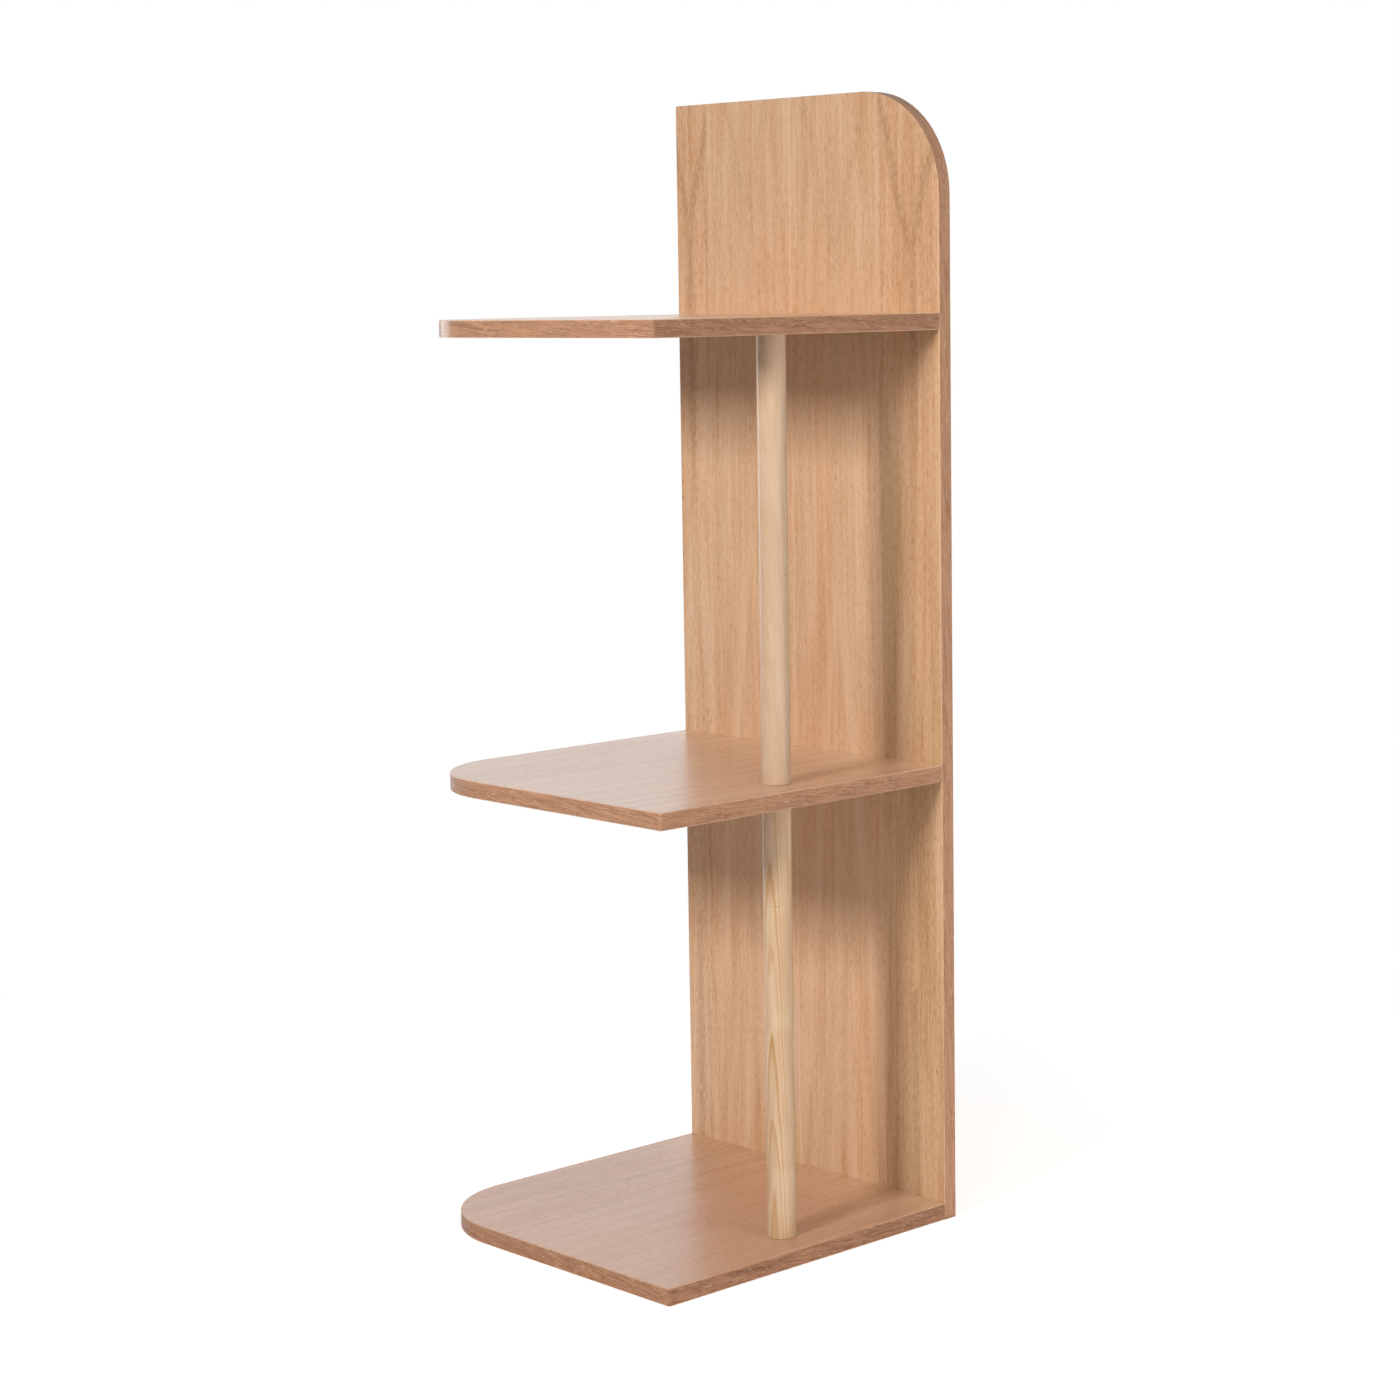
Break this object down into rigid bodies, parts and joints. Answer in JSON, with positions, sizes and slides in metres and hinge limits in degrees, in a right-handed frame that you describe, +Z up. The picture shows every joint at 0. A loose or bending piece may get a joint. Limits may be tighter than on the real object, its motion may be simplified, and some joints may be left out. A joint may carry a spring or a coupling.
{
  "type": "spine bookshelf",
  "caption": "Tall narrow open bookshelf: an upright panel with one rounded top corner carries cantilevered shelves with one rounded front corner, tied by slim round posts.",
  "frame": {"origin": "on the floor, under the middle of the overall box", "axes": "+Z up, the shelves face -Y, +X is the right-hand side seen from the front"},
  "size_m": [0.4, 0.418, 1.2],
  "materials": {
    "veneer": "satin lacquered oak veneer",
    "lipping": "satin lacquered solid oak, redder than the veneer",
    "post": "satin lacquered pale ash",
    "core": "raw wood-based board",
    "dowel": "raw beech",
    "cam": "die-cast zinc",
    "steel": "zinc-plated steel",
    "insert": "yellow-passivated zinc"
  },
  "bodies": {
    "shelf_frame": {"panel_core": "core", "panel_front_veneer": "veneer", "panel_rear_veneer": "veneer", "panel_contour_lipping": "lipping", "panel_left_lipping": "lipping", "panel_foot_lipping": "lipping", "bottom_shelf_core": "core", "bottom_shelf_top_veneer": "veneer", "bottom_shelf_underside_veneer": "veneer", "bottom_shelf_contour_lipping": "lipping", "bottom_shelf_right_lipping": "lipping", "middle_shelf_core": "core", "middle_shelf_top_veneer": "veneer", "middle_shelf_underside_veneer": "veneer", "middle_shelf_contour_lipping": "lipping", "middle_shelf_right_lipping": "lipping", "top_shelf_core": "core", "top_shelf_top_veneer": "veneer", "top_shelf_underside_veneer": "veneer", "top_shelf_contour_lipping": "lipping", "top_shelf_right_lipping": "lipping", "lower_post": "post", "upper_post": "post", "post_inserts": "insert", "top_shelf_insert": "insert", "middle_stud": "steel", "top_stud": "steel", "bottom_bolt": "steel", "cam_bolts": "steel", "dowels": "dowel"},
    "bottom_left_cam": {"bottom_left_cam": "cam"},
    "bottom_right_cam": {"bottom_right_cam": "cam"},
    "middle_left_cam": {"middle_left_cam": "cam"},
    "middle_right_cam": {"middle_right_cam": "cam"},
    "top_left_cam": {"top_left_cam": "cam"},
    "top_right_cam": {"top_right_cam": "cam"}
  },
  "joints": [
    {"name": "bottom_left_cam_turn", "type": "hinge", "parent": "shelf_frame", "child": "bottom_left_cam", "pos_m": [-0.14, 0.157, 0.007], "axis": [0, 0, -1], "range_deg": [0, 180]},
    {"name": "bottom_right_cam_turn", "type": "hinge", "parent": "shelf_frame", "child": "bottom_right_cam", "pos_m": [0.14, 0.157, 0.007], "axis": [0, 0, -1], "range_deg": [0, 180]},
    {"name": "middle_left_cam_turn", "type": "hinge", "parent": "shelf_frame", "child": "middle_left_cam", "pos_m": [-0.14, 0.157, 0.482], "axis": [0, 0, -1], "range_deg": [0, 180]},
    {"name": "middle_right_cam_turn", "type": "hinge", "parent": "shelf_frame", "child": "middle_right_cam", "pos_m": [0.14, 0.157, 0.482], "axis": [0, 0, -1], "range_deg": [0, 180]},
    {"name": "top_left_cam_turn", "type": "hinge", "parent": "shelf_frame", "child": "top_left_cam", "pos_m": [-0.14, 0.157, 0.957], "axis": [0, 0, -1], "range_deg": [0, 180]},
    {"name": "top_right_cam_turn", "type": "hinge", "parent": "shelf_frame", "child": "top_right_cam", "pos_m": [0.14, 0.157, 0.957], "axis": [0, 0, -1], "range_deg": [0, 180]}
  ]
}
